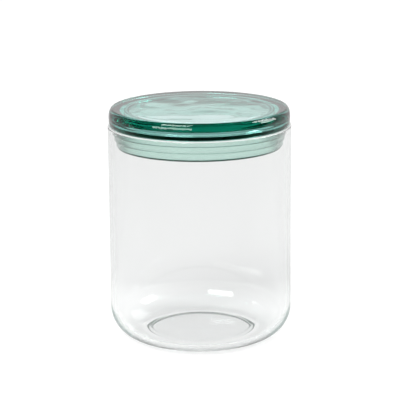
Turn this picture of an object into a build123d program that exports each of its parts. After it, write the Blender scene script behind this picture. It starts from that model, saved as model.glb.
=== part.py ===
from build123d import *
import os

# Glass storage jar with a pressed glass lid and a ribbed silicone seal.
#
#   jar_body   clear glass: straight wall, rounded foot, pushed-up base, polished rim
#   glass_lid  green glass: thick round-edged disc, pressed in one with a grooved boss
#   seal_ring  silicone sleeve with three ribs, held in the groove of the boss
#
# All sizes are in millimetres. The origin is the middle of the foot, on the table,
# and +Z runs up the axis of the jar. Every piece is a turned half section.

# Jar
JAR_DIAMETER = 100.0
JAR_HEIGHT = 118.5          # table to rim, without the lid
WALL = 2.2
BASE_THICKNESS = 2.8
CORNER_RADIUS = 16.5        # outside, where the wall turns into the foot
FOOT_WIDTH = 3.0            # ring that touches the table
PUSH_UP = 2.4               # height of the hollow under the base
RIM_OUTER_ROUND = 0.9
RIM_INNER_ROUND = 0.4

# Lid
LID_INSET = 0.6             # how far the lid's edge stands inside the jar's wall
LID_THICKNESS = 9.4
LID_TOP_ROUND = 2.2         # how far the upper edge curves in
LID_SIDE_BOW = 4.8          # height over which it does so
LID_FOOT_HEIGHT = 3.0       # height over which the lid's side curves in to its seat
DISC_THICKNESS = 6.0        # glass over the recess
SEAT_OVERLAP = 0.3          # width of the lid's flat that bears on the rim
BOSS_WALL = 2.5
LIP_THICKNESS = 0.8         # lip below the groove, which holds the seal up
LIP_OVERHANG = 1.3          # how far the lip stands out past the groove
BOSS_EDGE_ROUND = 0.4
RECESS_ROUND = 1.0          # where the boss turns into the underside of the disc

# Seal
RIB_COUNT = 3
RIB_HEIGHT = 3.3
RIB_GAP = 0.4
RIB_STEP = 1.1              # each rib is this much narrower than the one above it
RIB_REACH = 0.9             # how far the narrowest rib stands out from the sleeve
RIB_ROUND = 0.5
SEAL_SLEEVE = 1.0           # wall of the seal between its ribs and the groove

# Clearances
MOUTH_CLEARANCE = 0.15      # widest rib to the inside of the jar's wall
GROOVE_CLEARANCE = 0.08     # seal to the groove, all round
LIP_CLEARANCE = 0.10        # bottom of the seal to the lip

# Radii and levels that follow
JAR_RADIUS = JAR_DIAMETER / 2
MOUTH_RADIUS = JAR_RADIUS - WALL
FOOT_OUTER = JAR_RADIUS - CORNER_RADIUS
FOOT_INNER = FOOT_OUTER - FOOT_WIDTH
INNER_CORNER = CORNER_RADIUS - WALL
INNER_CORNER_TOP = BASE_THICKNESS + INNER_CORNER

LID_RADIUS = JAR_RADIUS - LID_INSET
SEAT_RADIUS = MOUTH_RADIUS + RIM_INNER_ROUND + SEAT_OVERLAP
LID_TOP = JAR_HEIGHT + LID_THICKNESS
RECESS_TOP = LID_TOP - DISC_THICKNESS

RIB_TIP = MOUTH_RADIUS - MOUTH_CLEARANCE
SEAL_ROOT = RIB_TIP - (RIB_COUNT - 1) * RIB_STEP - RIB_REACH
SEAL_INNER = SEAL_ROOT - SEAL_SLEEVE
SEAL_HEIGHT = RIB_COUNT * RIB_HEIGHT + (RIB_COUNT - 1) * RIB_GAP

GROOVE_RADIUS = SEAL_INNER - GROOVE_CLEARANCE
LIP_RADIUS = GROOVE_RADIUS + LIP_OVERHANG
LIP_TOP = JAR_HEIGHT - SEAL_HEIGHT - LIP_CLEARANCE
BOSS_BOTTOM = LIP_TOP - LIP_THICKNESS
RECESS_RADIUS = GROOVE_RADIUS - BOSS_WALL


def turned(outline):
    """Spin a closed half section, drawn as (radius, height), about the jar's axis."""
    return revolve(Plane.XZ * make_face(outline), Axis.Z)


def quarter(start, end, tangent):
    """Round a corner from start to end, leaving start along tangent."""
    return TangentArc(start, end, tangent=tangent)


def jar_body():
    outside = [
        quarter((0, PUSH_UP), (FOOT_INNER, 0), (1, 0)),
        Line((FOOT_INNER, 0), (FOOT_OUTER, 0)),
        quarter((FOOT_OUTER, 0), (JAR_RADIUS, CORNER_RADIUS), (1, 0)),
        Line((JAR_RADIUS, CORNER_RADIUS), (JAR_RADIUS, JAR_HEIGHT - RIM_OUTER_ROUND)),
    ]
    rim = [
        quarter(outside[-1] @ 1, (JAR_RADIUS - RIM_OUTER_ROUND, JAR_HEIGHT), (0, 1)),
        Line((JAR_RADIUS - RIM_OUTER_ROUND, JAR_HEIGHT), (MOUTH_RADIUS + RIM_INNER_ROUND, JAR_HEIGHT)),
        quarter(
            (MOUTH_RADIUS + RIM_INNER_ROUND, JAR_HEIGHT),
            (MOUTH_RADIUS, JAR_HEIGHT - RIM_INNER_ROUND),
            (-1, 0),
        ),
    ]
    inside = [
        Line(rim[-1] @ 1, (MOUTH_RADIUS, INNER_CORNER_TOP)),
        quarter((MOUTH_RADIUS, INNER_CORNER_TOP), (FOOT_OUTER, BASE_THICKNESS), (0, -1)),
        Line((FOOT_OUTER, BASE_THICKNESS), (FOOT_INNER, BASE_THICKNESS)),
        quarter((0, PUSH_UP + BASE_THICKNESS), (FOOT_INNER, BASE_THICKNESS), (1, 0)),
        Line((0, PUSH_UP + BASE_THICKNESS), (0, PUSH_UP)),
    ]
    return turned(outside + rim + inside)


def glass_lid():
    disc = [
        Line((0, LID_TOP), (LID_RADIUS - LID_TOP_ROUND, LID_TOP)),
        EllipticalCenterArc(
            (LID_RADIUS - LID_TOP_ROUND, LID_TOP - LID_SIDE_BOW),
            LID_TOP_ROUND,
            LID_SIDE_BOW,
            start_angle=0,
            arc_size=90,
        ),
        Line((LID_RADIUS, LID_TOP - LID_SIDE_BOW), (LID_RADIUS, JAR_HEIGHT + LID_FOOT_HEIGHT)),
        EllipticalCenterArc(
            (SEAT_RADIUS, JAR_HEIGHT + LID_FOOT_HEIGHT),
            LID_RADIUS - SEAT_RADIUS,
            LID_FOOT_HEIGHT,
            start_angle=270,
            arc_size=90,
        ),
        Line((SEAT_RADIUS, JAR_HEIGHT), (GROOVE_RADIUS, JAR_HEIGHT)),
    ]
    lip = [
        Line((GROOVE_RADIUS, JAR_HEIGHT), (GROOVE_RADIUS, LIP_TOP)),
        Line((GROOVE_RADIUS, LIP_TOP), (LIP_RADIUS, LIP_TOP)),
        Line((LIP_RADIUS, LIP_TOP), (LIP_RADIUS, BOSS_BOTTOM + BOSS_EDGE_ROUND)),
        quarter(
            (LIP_RADIUS, BOSS_BOTTOM + BOSS_EDGE_ROUND),
            (LIP_RADIUS - BOSS_EDGE_ROUND, BOSS_BOTTOM),
            (0, -1),
        ),
        Line((LIP_RADIUS - BOSS_EDGE_ROUND, BOSS_BOTTOM), (RECESS_RADIUS + BOSS_EDGE_ROUND, BOSS_BOTTOM)),
    ]
    recess = [
        quarter(
            (RECESS_RADIUS + BOSS_EDGE_ROUND, BOSS_BOTTOM),
            (RECESS_RADIUS, BOSS_BOTTOM + BOSS_EDGE_ROUND),
            (-1, 0),
        ),
        Line((RECESS_RADIUS, BOSS_BOTTOM + BOSS_EDGE_ROUND), (RECESS_RADIUS, RECESS_TOP - RECESS_ROUND)),
        quarter(
            (RECESS_RADIUS, RECESS_TOP - RECESS_ROUND),
            (RECESS_RADIUS - RECESS_ROUND, RECESS_TOP),
            (0, 1),
        ),
        Line((RECESS_RADIUS - RECESS_ROUND, RECESS_TOP), (0, RECESS_TOP)),
        Line((0, RECESS_TOP), (0, LID_TOP)),
    ]
    return turned(disc + lip + recess)


def rib(index):
    """Outline of one rib, from its top inner corner down to its bottom inner corner."""
    tip = RIB_TIP - index * RIB_STEP
    top = JAR_HEIGHT - index * (RIB_HEIGHT + RIB_GAP)
    bottom = top - RIB_HEIGHT
    return [
        Line((SEAL_ROOT, top), (tip - RIB_ROUND, top)),
        quarter((tip - RIB_ROUND, top), (tip, top - RIB_ROUND), (1, 0)),
        Line((tip, top - RIB_ROUND), (tip, bottom + RIB_ROUND)),
        quarter((tip, bottom + RIB_ROUND), (tip - RIB_ROUND, bottom), (0, -1)),
        Line((tip - RIB_ROUND, bottom), (SEAL_ROOT, bottom)),
    ]


def seal_ring():
    seal_bottom = JAR_HEIGHT - SEAL_HEIGHT
    outline = rib(0)
    for index in range(1, RIB_COUNT):
        next_rib = rib(index)
        outline += [Line(outline[-1] @ 1, next_rib[0] @ 0)] + next_rib
    outline += [
        Line((SEAL_ROOT, seal_bottom), (SEAL_INNER, seal_bottom)),
        Line((SEAL_INNER, seal_bottom), (SEAL_INNER, JAR_HEIGHT)),
        Line((SEAL_INNER, JAR_HEIGHT), (SEAL_ROOT, JAR_HEIGHT)),
    ]
    return turned(outline)


os.makedirs("parts", exist_ok=True)
export_step(jar_body(), "parts/jar_body.step")
export_step(glass_lid(), "parts/glass_lid.step")
export_step(seal_ring(), "parts/seal_ring.step")
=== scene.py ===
"""Looks of the glass storage jar: clear jar, green pressed lid and silicone seal ring.

Everything is in metres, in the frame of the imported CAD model: the origin is the middle of
the foot and +Z runs up the axis. Each piece is a turned half section, given as
(radius, height) points, with the small unevenness of real glass added to its surfaces.
"""

import bpy
import bmesh
import math
from mathutils import Euler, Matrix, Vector, noise

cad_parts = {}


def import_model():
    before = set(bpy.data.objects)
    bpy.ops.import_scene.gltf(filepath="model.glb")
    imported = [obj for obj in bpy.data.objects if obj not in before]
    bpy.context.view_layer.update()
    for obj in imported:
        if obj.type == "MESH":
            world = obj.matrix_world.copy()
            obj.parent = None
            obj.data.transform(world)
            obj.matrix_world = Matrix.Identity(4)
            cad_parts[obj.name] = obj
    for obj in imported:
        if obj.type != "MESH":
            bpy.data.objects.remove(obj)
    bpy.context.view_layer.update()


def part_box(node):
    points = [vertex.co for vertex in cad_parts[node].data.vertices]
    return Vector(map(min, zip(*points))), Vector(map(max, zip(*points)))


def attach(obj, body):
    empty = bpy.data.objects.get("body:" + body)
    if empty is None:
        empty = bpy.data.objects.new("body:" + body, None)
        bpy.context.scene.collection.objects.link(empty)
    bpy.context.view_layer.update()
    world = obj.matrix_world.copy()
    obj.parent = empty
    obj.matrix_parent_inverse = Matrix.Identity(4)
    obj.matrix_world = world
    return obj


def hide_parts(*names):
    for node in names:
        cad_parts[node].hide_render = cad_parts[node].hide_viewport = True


MM = 0.001

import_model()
jar_low, jar_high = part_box("jar_body")
lid_low, lid_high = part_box("glass_lid")
seal_low, seal_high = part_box("seal_ring")

# Sizes that the boxes give
JAR_RADIUS = jar_high.x
RIM = jar_high.z
LID_RADIUS = lid_high.x
LID_TOP = lid_high.z
BOSS_BOTTOM = lid_low.z
RIB_TIP = seal_high.x
SEAL_BOTTOM = seal_low.z

# Sizes inside the boxes that the CAD model has too
WALL = 2.2 * MM
BASE_THICKNESS = 2.8 * MM
CORNER_RADIUS = 16.5 * MM
FOOT_WIDTH = 3.0 * MM
RIM_OUTER_ROUND = 0.9 * MM
RIM_INNER_ROUND = 0.4 * MM
LID_TOP_ROUND = 2.2 * MM
LID_SIDE_BOW = 4.8 * MM             # height over which the upper edge bows in
LID_FOOT_HEIGHT = 3.0 * MM          # height over which the lid's side curves in to its seat
DISC_THICKNESS = 6.0 * MM           # glass over the recess
SEAT_OVERLAP = 0.3 * MM
BOSS_WALL = 2.5 * MM
LIP_THICKNESS = 0.8 * MM
LIP_OVERHANG = 1.3 * MM
BOSS_EDGE_ROUND = 0.4 * MM
RIB_COUNT = 3
RIB_HEIGHT = 3.3 * MM
RIB_GAP = 0.4 * MM
RIB_STEP = 1.1 * MM
RIB_REACH = 0.9 * MM
RIB_ROUND = 0.5 * MM
SEAL_SLEEVE = 1.0 * MM
GROOVE_CLEARANCE = 0.08 * MM

# Sizes that only the looks have
PUSH_UP = 1.0 * MM                  # height of the flat pushed-up base over the table
PUNT_EDGE = 3.5 * MM                # width over which it comes down to the foot
FLOOR_RADIUS = 28.0 * MM            # flat of the jar's floor inside
FLOOR_STEP = 0.5 * MM               # how far that flat lies below the glass round it
RECESS_ROUND = 3.0 * MM
PAINTED_SHADE_HEIGHTS = (0.35 * MM, 2.3 * MM)   # heights over the rim between which painted shade darkens the lid's foot to a dark line
MILKY_RIM = 0.6 * RIM_OUTER_ROUND   # depth of the milky part of the rim
TOP_WAVE = 0.30 * MM                # depths of the waves in the lid's two flats
UNDER_WAVE = 0.25 * MM
WAVE_EDGE = 4.0 * MM                # width over which they fade out

# Sizes worked out from those
MOUTH_RADIUS = JAR_RADIUS - WALL
SEAT_RADIUS = MOUTH_RADIUS + RIM_INNER_ROUND + SEAT_OVERLAP
RECESS_TOP = LID_TOP - DISC_THICKNESS
SEAL_ROOT = RIB_TIP - (RIB_COUNT - 1) * RIB_STEP - RIB_REACH
SEAL_INNER = SEAL_ROOT - SEAL_SLEEVE
GROOVE_RADIUS = SEAL_INNER - GROOVE_CLEARANCE
LIP_RADIUS = GROOVE_RADIUS + LIP_OVERHANG
RECESS_RADIUS = GROOVE_RADIUS - BOSS_WALL
FOOT_OUTER = JAR_RADIUS - CORNER_RADIUS
FOOT_INNER = FOOT_OUTER - FOOT_WIDTH

TURN_STEPS = 256                    # faces round each turned piece
RUN_STEP = 1.2 * MM                 # longest stretch of an outline between two points

# Glass: the colour that its volume leaves, and how densely it absorbs the rest
CLEAR_LEFT = (0.40, 0.62, 0.56)
CLEAR_DENSITY = 9.0
GREEN_LEFT = (0.0, 0.73, 0.65)
GREEN_DENSITY = 62.0
UNTINTED = (1, 1, 1)
# Tint of the painted shade: a near-black green that darkens both what passes through and what is mirrored
# on the lid's foot and lip
PAINTED_SHADE_TINT = (0.01, 0.07, 0.04)

PHOTO_TARGET = Vector((0, 0, 75.5 * MM))
PHOTO_DISTANCE = 1.0
PHOTO_ELEVATION = 13.72             # degrees
PHOTO_ROLL = 0.45                   # degrees
PHOTO_SENSOR = 36.0                 # millimetres, like the lens
PHOTO_LENS = 163.53

ROOM_LIGHT = 1.1                    # how bright the white room is
ROOM_THROUGH = 0.75                 # share of the room that is seen through the glass
BACKDROP = 0.95                     # what the glass sees of the room low down
CEILING = 0.55                      # what it sees of it high up
BACKDROP_FADE = (0.25, 0.80)        # sines of the heights between which one becomes the other
FRONT_WAY = Vector((0, -0.97, 0.24)).normalized()
FRONT_FADE = (-0.8, 0.0)            # cosines to that way between which the mirrored room darkens
MIRRORED_ROOM = 0.03                # what is left of it there
FLOOR_SIZE = 12.0
FLOOR_TONE = 0.36                   # share of the table's brightness that shadows can take away
FLOOR_WHITE = 0.69                  # the rest of it, where the table is seen straight
FLOOR_GLOW = (0.66, 0.36)           # the rest of it through the glass: under the jar, and behind it
FLOOR_NEAR = (0.03, 0.10)           # how far behind the axis the one becomes the other
MIRRORED_GLOW = 0.03                # brightness of the table's front as the glass mirrors it
DARK_FLOOR = (0.10, -0.15)          # places along Y between which that sets in, towards the camera
SOFTBOX_DISTANCE = 1.4
BOUNCES = 96                        # enough for light that runs along inside the walls


# ---------------------------------------------------------------- outlines

def run(start, end, step=RUN_STEP):
    """Points along a straight stretch, without its end."""
    length = math.dist(start, end)
    count = max(1, math.ceil(length / step))
    return [(start[0] + (end[0] - start[0]) * i / count, start[1] + (end[1] - start[1]) * i / count)
            for i in range(count)]


def arc(centre, radius, start, end, steps=10):
    """Points round an arc between two angles in degrees, without its end."""
    angles = [math.radians(start + (end - start) * i / steps) for i in range(steps)]
    across, up = radius if isinstance(radius, tuple) else (radius, radius)
    return [(centre[0] + across * math.cos(a), centre[1] + up * math.sin(a)) for a in angles]


def placed(name, bm):
    """An object in the scene with the faces of bm, which is used up."""
    mesh = bpy.data.meshes.new(name)
    bm.to_mesh(mesh)
    bm.free()
    piece = bpy.data.objects.new(name, mesh)
    bpy.context.scene.collection.objects.link(piece)
    return piece


def turned(name, outline, steps=TURN_STEPS):
    """A closed body from a half section whose first and last points lie on the axis, or a ring."""
    bm = bmesh.new()
    on_axis = [r < 1e-7 for r, z in outline]
    rings = []
    for (r, z), axial in zip(outline, on_axis):
        if axial:
            rings.append([bm.verts.new((0, 0, z))] * steps)
            continue
        turns = [2 * math.pi * k / steps for k in range(steps)]
        rings.append([bm.verts.new((r * math.cos(t), r * math.sin(t), z)) for t in turns])
    pairs = list(zip(rings, rings[1:]))
    if not on_axis[0]:
        pairs.append((rings[-1], rings[0]))
    for ring, following in pairs:
        for k in range(steps):
            corners = [ring[k], ring[(k + 1) % steps], following[(k + 1) % steps], following[k]]
            bm.faces.new(list(dict.fromkeys(corners)))
    bmesh.ops.recalc_face_normals(bm, faces=bm.faces)
    for face in bm.faces:
        face.smooth = True
    return placed(name, bm)


def swell(x, y, seed, size):
    """A smooth height from about -1 to 1: uneven rings, off centre, laid over drifting noise."""
    drift = Vector((x / size, y / size, seed))
    rings = math.hypot(x + 4 * MM, y) / (0.55 * size) + 1.6 * noise.noise(drift * 0.7)
    return 0.8 * noise.noise(drift) + 0.45 * math.sin(rings)


def wave(piece, height, reach, depth, seed, size):
    """Sink the flat at one height by up to depth, within a radius, so that it waves like pressed glass."""
    for vertex in piece.data.vertices:
        radius = vertex.co.xy.length
        if abs(vertex.co.z - height) > 0.001 * MM or radius > reach:
            continue
        edge = min(1.0, (reach - radius) / WAVE_EDGE)
        edge = edge * edge * (3 - 2 * edge)
        level = 0.5 + 0.5 * max(-1.0, min(1.0, swell(vertex.co.x, vertex.co.y, seed, size)))
        vertex.co.z -= depth * edge * level


def jar_outline():
    inner_corner = CORNER_RADIUS - WALL
    inner_top = BASE_THICKNESS + inner_corner
    return (
        run((0, PUSH_UP), (FOOT_INNER - PUNT_EDGE, PUSH_UP))
        + arc((FOOT_INNER - PUNT_EDGE, 0), (PUNT_EDGE, PUSH_UP), 90, 0, 16)
        + run((FOOT_INNER, 0), (FOOT_OUTER, 0))
        + arc((FOOT_OUTER, CORNER_RADIUS), CORNER_RADIUS, -90, 0, 28)
        + run((JAR_RADIUS, CORNER_RADIUS), (JAR_RADIUS, RIM - RIM_OUTER_ROUND))
        + arc((JAR_RADIUS - RIM_OUTER_ROUND, RIM - RIM_OUTER_ROUND), RIM_OUTER_ROUND, 0, 90)
        + run((JAR_RADIUS - RIM_OUTER_ROUND, RIM), (MOUTH_RADIUS + RIM_INNER_ROUND, RIM), 0.2 * MM)
        + arc((MOUTH_RADIUS + RIM_INNER_ROUND, RIM - RIM_INNER_ROUND), RIM_INNER_ROUND, 90, 180)
        + run((MOUTH_RADIUS, RIM - RIM_INNER_ROUND), (MOUTH_RADIUS, inner_top))
        + arc((FOOT_OUTER, inner_top), inner_corner, 0, -90, 28)
        + run((FOOT_OUTER, BASE_THICKNESS), (FOOT_INNER, BASE_THICKNESS))
        + run((FOOT_INNER, BASE_THICKNESS), (FLOOR_RADIUS + FLOOR_STEP, BASE_THICKNESS), 0.4 * MM)
        + arc((FLOOR_RADIUS + FLOOR_STEP, BASE_THICKNESS - FLOOR_STEP), FLOOR_STEP, 90, 180, 12)
        + run((FLOOR_RADIUS, BASE_THICKNESS - FLOOR_STEP), (0, BASE_THICKNESS - FLOOR_STEP))
        + [(0, BASE_THICKNESS - FLOOR_STEP)]
    )


def lid_outline():
    lip_top = BOSS_BOTTOM + LIP_THICKNESS
    top_centre = (LID_RADIUS - LID_TOP_ROUND, LID_TOP - LID_SIDE_BOW)
    bottom_centre = (SEAT_RADIUS, RIM + LID_FOOT_HEIGHT)
    bottom_round = (LID_RADIUS - SEAT_RADIUS, LID_FOOT_HEIGHT)
    edge = BOSS_EDGE_ROUND
    return (
        run((0, LID_TOP), (top_centre[0], LID_TOP))
        + arc(top_centre, (LID_TOP_ROUND, LID_SIDE_BOW), 90, 0, 20)
        + run((LID_RADIUS, top_centre[1]), (LID_RADIUS, bottom_centre[1]), 0.4 * MM)
        + arc(bottom_centre, bottom_round, 0, -90, 16)
        + run((SEAT_RADIUS, RIM), (GROOVE_RADIUS, RIM), 0.5 * MM)
        + run((GROOVE_RADIUS, RIM), (GROOVE_RADIUS, lip_top), 0.5 * MM)
        + run((GROOVE_RADIUS, lip_top), (LIP_RADIUS, lip_top), 0.3 * MM)
        + run((LIP_RADIUS, lip_top), (LIP_RADIUS, BOSS_BOTTOM + edge), 0.3 * MM)
        + arc((LIP_RADIUS - edge, BOSS_BOTTOM + edge), edge, 0, -90, 6)
        + run((LIP_RADIUS - edge, BOSS_BOTTOM), (RECESS_RADIUS + edge, BOSS_BOTTOM), 0.5 * MM)
        + arc((RECESS_RADIUS + edge, BOSS_BOTTOM + edge), edge, -90, -180, 6)
        + run((RECESS_RADIUS, BOSS_BOTTOM + edge), (RECESS_RADIUS, RECESS_TOP - RECESS_ROUND), 0.5 * MM)
        + arc((RECESS_RADIUS - RECESS_ROUND, RECESS_TOP - RECESS_ROUND), RECESS_ROUND, 0, 90, 10)
        + run((RECESS_RADIUS - RECESS_ROUND, RECESS_TOP), (0, RECESS_TOP))
        + [(0, RECESS_TOP)]
    )


def seal_outline():
    points = []
    for index in range(RIB_COUNT):
        tip = RIB_TIP - index * RIB_STEP
        top = RIM - index * (RIB_HEIGHT + RIB_GAP)
        bottom = top - RIB_HEIGHT
        points += run((SEAL_ROOT, top), (tip - RIB_ROUND, top), 0.3 * MM)
        points += arc((tip - RIB_ROUND, top - RIB_ROUND), RIB_ROUND, 90, 0, 6)
        points += run((tip, top - RIB_ROUND), (tip, bottom + RIB_ROUND), 0.4 * MM)
        points += arc((tip - RIB_ROUND, bottom + RIB_ROUND), RIB_ROUND, 0, -90, 6)
        points += run((tip - RIB_ROUND, bottom), (SEAL_ROOT, bottom), 0.3 * MM)
    points += run((SEAL_ROOT, SEAL_BOTTOM), (SEAL_INNER, SEAL_BOTTOM), 0.3 * MM)
    points += run((SEAL_INNER, SEAL_BOTTOM), (SEAL_INNER, RIM), 0.5 * MM)
    points += run((SEAL_INNER, RIM), (SEAL_ROOT, RIM), 0.3 * MM)
    return points


# ---------------------------------------------------------------- materials

def new_material(name):
    material = bpy.data.materials.new(name)
    material.use_nodes = True
    tree = material.node_tree
    tree.nodes.clear()
    output = tree.nodes.new("ShaderNodeOutputMaterial")
    shader = tree.nodes.new("ShaderNodeBsdfPrincipled")
    tree.links.new(shader.outputs["BSDF"], output.inputs["Surface"])
    return material, tree, shader, output


def surface_bump(tree, shader, scale, strength, distance):
    """Faint unevenness too small to model, laid over the surface as bump."""
    where = tree.nodes.new("ShaderNodeTexCoord")
    grain = tree.nodes.new("ShaderNodeTexNoise")
    grain.inputs["Scale"].default_value = scale
    grain.inputs["Detail"].default_value = 2.0
    bump = tree.nodes.new("ShaderNodeBump")
    bump.inputs["Strength"].default_value = strength
    bump.inputs["Distance"].default_value = distance
    tree.links.new(where.outputs["Object"], grain.inputs["Vector"])
    tree.links.new(grain.outputs["Fac"], bump.inputs["Height"])
    tree.links.new(bump.outputs["Normal"], shader.inputs["Normal"])


def glass(name, ior, colour_left, density):
    """Glass that is coloured through, by what its volume absorbs."""
    material, tree, shader, output = new_material(name)
    shader.inputs["Base Color"].default_value = (1, 1, 1, 1)
    shader.inputs["Roughness"].default_value = 0.0
    shader.inputs["IOR"].default_value = ior
    shader.inputs["Transmission Weight"].default_value = 1.0
    volume = tree.nodes.new("ShaderNodeVolumeAbsorption")
    volume.inputs["Color"].default_value = (*colour_left, 1)
    volume.inputs["Density"].default_value = density
    tree.links.new(volume.outputs["Volume"], output.inputs["Volume"])
    return material, tree, shader


def clear_glass():
    material, tree, shader = glass("clear_glass", 1.47, CLEAR_LEFT, CLEAR_DENSITY)
    surface_bump(tree, shader, 28.0, 0.05, 0.2 * MM)
    return material


def rim_glass():
    """The flame-polished rim, faintly milky where it was cut."""
    material, tree, shader = glass("clear_glass_rim", 1.47, CLEAR_LEFT, CLEAR_DENSITY)
    shader.inputs["Base Color"].default_value = (0.98, 0.99, 0.98, 1)
    shader.inputs["Transmission Weight"].default_value = 0.45
    shader.inputs["Roughness"].default_value = 0.3
    surface_bump(tree, shader, 900.0, 0.1, 0.02 * MM)
    return material


def green_glass(name, tint):
    """The tint colours both what passes through the surface and what it mirrors."""
    material, tree, shader = glass(name, 1.52, GREEN_LEFT, GREEN_DENSITY)
    shader.inputs["Base Color"].default_value = (*tint, 1)
    shader.inputs["Specular Tint"].default_value = (*tint, 1)
    return material


def silicone():
    material, tree, shader, _ = new_material("silicone")
    shader.inputs["Base Color"].default_value = (0.70, 0.87, 0.80, 1)
    shader.inputs["Roughness"].default_value = 0.2
    shader.inputs["IOR"].default_value = 1.41
    shader.inputs["Transmission Weight"].default_value = 0.97
    surface_bump(tree, shader, 900.0, 0.1, 0.05 * MM)
    return material


# ---------------------------------------------------------------- pieces

def dress(piece, material, body, node):
    """Give a piece its main material, and let it stand for one CAD node and move with its body."""
    piece.data.materials.append(material)
    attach(piece, body)
    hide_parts(node)
    return piece


def clear_jar():
    """The jar, with its rim as a second material."""
    jar = dress(turned("clear_jar", jar_outline()), clear_glass(), "jar", "jar_body")
    jar.data.materials.append(rim_glass())
    for face in jar.data.polygons:
        if face.center.z > RIM - MILKY_RIM:
            face.material_index = 1


def green_lid():
    """The lid, waved on both flats, with painted shade on its foot and lip: dark lines given as a second
    material.
    """
    lid = turned("green_lid", lid_outline())
    dress(lid, green_glass("green_glass", UNTINTED), "lid", "glass_lid")
    wave(lid, height=LID_TOP, reach=LID_RADIUS - LID_TOP_ROUND,
         depth=TOP_WAVE, seed=3.0, size=16 * MM)
    wave(lid, height=RECESS_TOP, reach=RECESS_RADIUS - RECESS_ROUND,
         depth=-UNDER_WAVE, seed=11.0, size=13 * MM)
    # Painted shade: a near-black glass for a band round the foot and for the lip's edge
    lid.data.materials.append(green_glass("green_glass_painted_shade", PAINTED_SHADE_TINT))
    for face in lid.data.polygons:
        radius = face.center.xy.length
        height = face.center.z
        # faces that get the painted shade: a band over the rim round the foot, and the lip's rounded edge
        foot_shade_band = radius > SEAT_RADIUS and RIM + PAINTED_SHADE_HEIGHTS[0] < height < RIM + PAINTED_SHADE_HEIGHTS[1]
        lip_shade_band = radius > LIP_RADIUS - BOSS_EDGE_ROUND and height < BOSS_BOTTOM + LIP_THICKNESS
        if foot_shade_band or lip_shade_band:
            face.material_index = 1


def ribbed_seal():
    dress(turned("ribbed_seal", seal_outline()), silicone(), "seal", "seal_ring")


# ---------------------------------------------------------------- studio

def emitter(name, strength):
    material = bpy.data.materials.new(name)
    material.use_nodes = True
    tree = material.node_tree
    tree.nodes.clear()
    output = tree.nodes.new("ShaderNodeOutputMaterial")
    emission = tree.nodes.new("ShaderNodeEmission")
    emission.inputs["Strength"].default_value = strength
    tree.links.new(emission.outputs["Emission"], output.inputs["Surface"])
    return material


def sheet(name, width, height):
    bm = bmesh.new()
    corners = [(-width / 2, -height / 2, 0), (width / 2, -height / 2, 0),
               (width / 2, height / 2, 0), (-width / 2, height / 2, 0)]
    bm.faces.new([bm.verts.new(corner) for corner in corners])
    return placed(name, bm)


def softbox(name, azimuth, elevation, width, height, strength, through_glass=False):
    """A glowing panel facing the jar. Azimuth is counted from the photo camera's side, to its right.

    The glass mirrors every panel, and only those marked through_glass can be seen through it.
    """
    panel = sheet(name, width, height)
    a = math.radians(azimuth)
    e = math.radians(elevation)
    direction = Vector((math.sin(a) * math.cos(e), -math.cos(a) * math.cos(e), math.sin(e)))
    panel.location = PHOTO_TARGET + direction * SOFTBOX_DISTANCE
    panel.rotation_euler = direction.to_track_quat("Z", "Y").to_euler()
    panel.data.materials.append(emitter(name, strength))
    panel.visible_camera = False
    panel.visible_transmission = through_glass


def mirrored_ray(tree, path):
    """One for what the glass mirrors, nothing for what is seen straight or through it."""
    only = tree.nodes.new("ShaderNodeMath")
    only.operation = "SUBTRACT"
    only.use_clamp = True
    tree.links.new(path.outputs["Is Glossy Ray"], only.inputs[0])
    tree.links.new(path.outputs["Is Transmission Ray"], only.inputs[1])
    return only.outputs["Value"]


def floor():
    """A pale table, lit from below: white seen straight, and dark where the glass mirrors its front."""
    piece = sheet("floor", FLOOR_SIZE, FLOOR_SIZE)
    material, tree, shader, _ = new_material("floor")
    shader.inputs["Base Color"].default_value = (FLOOR_TONE, FLOOR_TONE, FLOOR_TONE, 1)
    shader.inputs["Roughness"].default_value = 0.9
    shader.inputs["Specular IOR Level"].default_value = 0.0
    shader.inputs["Emission Color"].default_value = (1, 1, 1, 1)
    path = tree.nodes.new("ShaderNodeLightPath")
    where = tree.nodes.new("ShaderNodeTexCoord")
    parts = tree.nodes.new("ShaderNodeSeparateXYZ")
    behind = tree.nodes.new("ShaderNodeMapRange")
    behind.inputs["From Min"].default_value = FLOOR_NEAR[0]
    behind.inputs["From Max"].default_value = FLOOR_NEAR[1]
    behind.inputs["To Min"].default_value = FLOOR_GLOW[0]
    behind.inputs["To Max"].default_value = FLOOR_GLOW[1]
    before = tree.nodes.new("ShaderNodeMapRange")
    before.inputs["From Min"].default_value = DARK_FLOOR[0]
    before.inputs["From Max"].default_value = DARK_FLOOR[1]
    dark = tree.nodes.new("ShaderNodeMath")
    dark.operation = "MULTIPLY"
    glow = tree.nodes.new("ShaderNodeMix")
    glow.inputs["B"].default_value = MIRRORED_GLOW - FLOOR_TONE
    seen = tree.nodes.new("ShaderNodeMix")
    seen.inputs["B"].default_value = FLOOR_WHITE
    tree.links.new(where.outputs["Object"], parts.inputs["Vector"])
    tree.links.new(parts.outputs["Y"], behind.inputs["Value"])
    tree.links.new(parts.outputs["Y"], before.inputs["Value"])
    tree.links.new(before.outputs["Result"], dark.inputs[0])
    tree.links.new(mirrored_ray(tree, path), dark.inputs[1])
    tree.links.new(behind.outputs["Result"], glow.inputs["A"])
    tree.links.new(dark.outputs["Value"], glow.inputs["Factor"])
    tree.links.new(glow.outputs["Result"], seen.inputs["A"])
    tree.links.new(path.outputs["Is Camera Ray"], seen.inputs["Factor"])
    tree.links.new(seen.outputs["Result"], shader.inputs["Emission Strength"])
    piece.data.materials.append(material)


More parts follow.
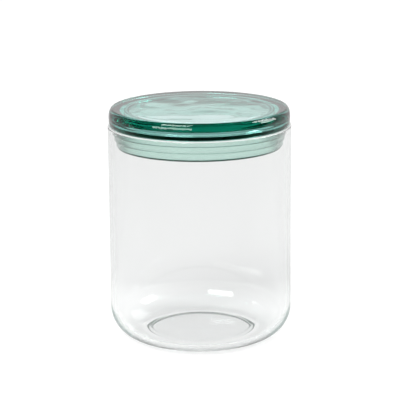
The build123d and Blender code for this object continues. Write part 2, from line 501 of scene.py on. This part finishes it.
def world():
    """A white room for the camera and for lighting. The glass mirrors it darker, except behind the jar."""
    scene_world = bpy.data.worlds.new("studio")
    bpy.context.scene.world = scene_world
    scene_world.use_nodes = True
    tree = scene_world.node_tree
    tree.nodes.clear()
    output = tree.nodes.new("ShaderNodeOutputWorld")
    where = tree.nodes.new("ShaderNodeTexCoord")
    parts = tree.nodes.new("ShaderNodeSeparateXYZ")
    height = tree.nodes.new("ShaderNodeValToRGB")
    height.color_ramp.interpolation = "EASE"
    height.color_ramp.elements[0].position = BACKDROP_FADE[0]
    height.color_ramp.elements[0].color = (BACKDROP, BACKDROP, BACKDROP, 1)
    height.color_ramp.elements[1].position = BACKDROP_FADE[1]
    height.color_ramp.elements[1].color = (CEILING, CEILING, CEILING, 1)
    facing = tree.nodes.new("ShaderNodeVectorMath")
    facing.operation = "DOT_PRODUCT"
    facing.inputs[1].default_value = FRONT_WAY
    front = tree.nodes.new("ShaderNodeMapRange")
    front.inputs["From Min"].default_value = FRONT_FADE[0]
    front.inputs["From Max"].default_value = FRONT_FADE[1]
    front.inputs["To Min"].default_value = 1.0
    front.inputs["To Max"].default_value = MIRRORED_ROOM
    share = tree.nodes.new("ShaderNodeMix")
    share.inputs["A"].default_value = ROOM_THROUGH
    shaded = tree.nodes.new("ShaderNodeVectorMath")
    shaded.operation = "SCALE"
    studio = tree.nodes.new("ShaderNodeBackground")
    plain = tree.nodes.new("ShaderNodeBackground")
    plain.inputs["Strength"].default_value = ROOM_LIGHT
    path = tree.nodes.new("ShaderNodeLightPath")
    lit = tree.nodes.new("ShaderNodeMath")
    lit.operation = "ADD"
    lit.use_clamp = True
    mix = tree.nodes.new("ShaderNodeMixShader")
    tree.links.new(where.outputs["Generated"], parts.inputs["Vector"])
    tree.links.new(parts.outputs["Z"], height.inputs["Fac"])
    tree.links.new(where.outputs["Generated"], facing.inputs[0])
    tree.links.new(facing.outputs["Value"], front.inputs["Value"])
    tree.links.new(front.outputs["Result"], share.inputs["B"])
    tree.links.new(mirrored_ray(tree, path), share.inputs["Factor"])
    tree.links.new(height.outputs["Color"], shaded.inputs[0])
    tree.links.new(share.outputs["Result"], shaded.inputs["Scale"])
    tree.links.new(shaded.outputs["Vector"], studio.inputs["Color"])
    tree.links.new(path.outputs["Is Camera Ray"], lit.inputs[0])
    tree.links.new(path.outputs["Diffuse Depth"], lit.inputs[1])
    tree.links.new(lit.outputs["Value"], mix.inputs["Fac"])
    tree.links.new(studio.outputs["Background"], mix.inputs[1])
    tree.links.new(plain.outputs["Background"], mix.inputs[2])
    tree.links.new(mix.outputs["Shader"], output.inputs["Surface"])


def camera():
    data = bpy.data.cameras.new("photo_camera")
    piece = bpy.data.objects.new("photo_camera", data)
    bpy.context.scene.collection.objects.link(piece)
    e = math.radians(PHOTO_ELEVATION)
    piece.location = PHOTO_TARGET + PHOTO_DISTANCE * Vector((0, -math.cos(e), math.sin(e)))
    aim = (PHOTO_TARGET - piece.location).to_track_quat("-Z", "Y")
    roll = Euler((0, 0, math.radians(-PHOTO_ROLL))).to_quaternion()
    piece.rotation_euler = (aim @ roll).to_euler()
    data.sensor_width = PHOTO_SENSOR
    data.lens = PHOTO_LENS
    data.clip_start = 0.01
    bpy.context.scene.camera = piece


clear_jar()
green_lid()
ribbed_seal()
floor()
softbox("left_softbox", azimuth=-35, elevation=14, width=1.3, height=0.30, strength=7)
softbox("right_softbox", azimuth=98, elevation=18, width=0.7, height=0.35, strength=7)
softbox("upper_left_softbox", azimuth=-35, elevation=44, width=0.8, height=0.40, strength=11,
        through_glass=True)
softbox("upper_right_softbox", azimuth=92, elevation=33, width=0.6, height=0.35, strength=11,
        through_glass=True)
world()
camera()

scene = bpy.context.scene
scene.view_settings.view_transform = "Standard"
scene.cycles.max_bounces = BOUNCES
scene.cycles.transmission_bounces = BOUNCES
scene.cycles.glossy_bounces = BOUNCES
scene.cycles.use_denoising = True
